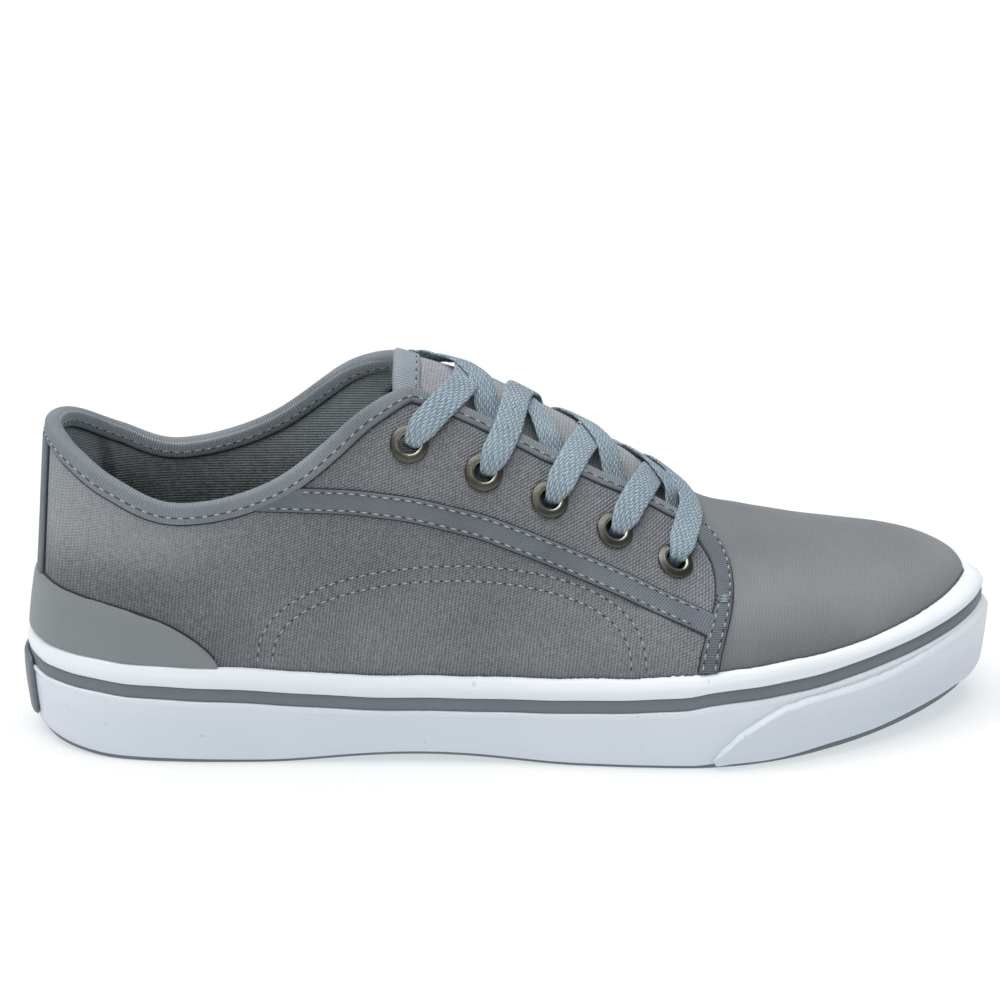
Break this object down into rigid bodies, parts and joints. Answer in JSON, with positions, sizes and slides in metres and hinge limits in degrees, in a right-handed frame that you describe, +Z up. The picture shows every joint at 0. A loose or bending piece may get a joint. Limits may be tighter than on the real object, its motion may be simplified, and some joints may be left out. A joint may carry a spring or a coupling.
{
  "type": "sneaker",
  "caption": "Low canvas sneaker, right shoe: hollow lace-up upper with bound collar on a vulcanised rubber sole with striped sidewall and toe bumper.",
  "frame": {"origin": "centre of the bounding box in plan, on the floor", "axes": "+X towards the toe, +Y towards the inner side of the foot, +Z up"},
  "size_m": [0.3008, 0.1104, 0.1166],
  "materials": {
    "grey_rubber": "matte grey rubber",
    "white_rubber": "satin white rubber",
    "stripe_rubber": "dark grey rubber line",
    "footbed": "dark woven footbed cover",
    "canvas": "warm grey plain-weave canvas",
    "counter_grey": "matte smooth grey rubber sheet",
    "tape": "cool grey ribbed cotton tape",
    "brass": "antique brass eyelet",
    "lace": "flat woven cotton lace"
  },
  "bodies": {
    "root": {"outsole": "grey_rubber", "foxing": "white_rubber", "foxing_stripe": "stripe_rubber", "toe_bumper": "white_rubber", "heel_label": "stripe_rubber", "insole": "footbed", "upper": "canvas", "heel_counter": "counter_grey", "heel_strip": "tape", "collar_binding": "tape", "lateral_eyestay_tape": "tape", "medial_eyestay_tape": "tape", "lateral_vamp_tape": "tape", "medial_vamp_tape": "tape", "tongue": "canvas", "lateral_eyelet_1": "brass", "lateral_eyelet_2": "brass", "lateral_eyelet_3": "brass", "lateral_eyelet_4": "brass", "lateral_eyelet_5": "brass", "medial_eyelet_1": "brass", "medial_eyelet_2": "brass", "medial_eyelet_3": "brass", "medial_eyelet_4": "brass", "medial_eyelet_5": "brass", "lace_bar": "lace", "lace_cross_1": "lace", "lace_cross_2": "lace", "lace_cross_3": "lace", "lace_cross_4": "lace"}
  },
  "joints": []
}
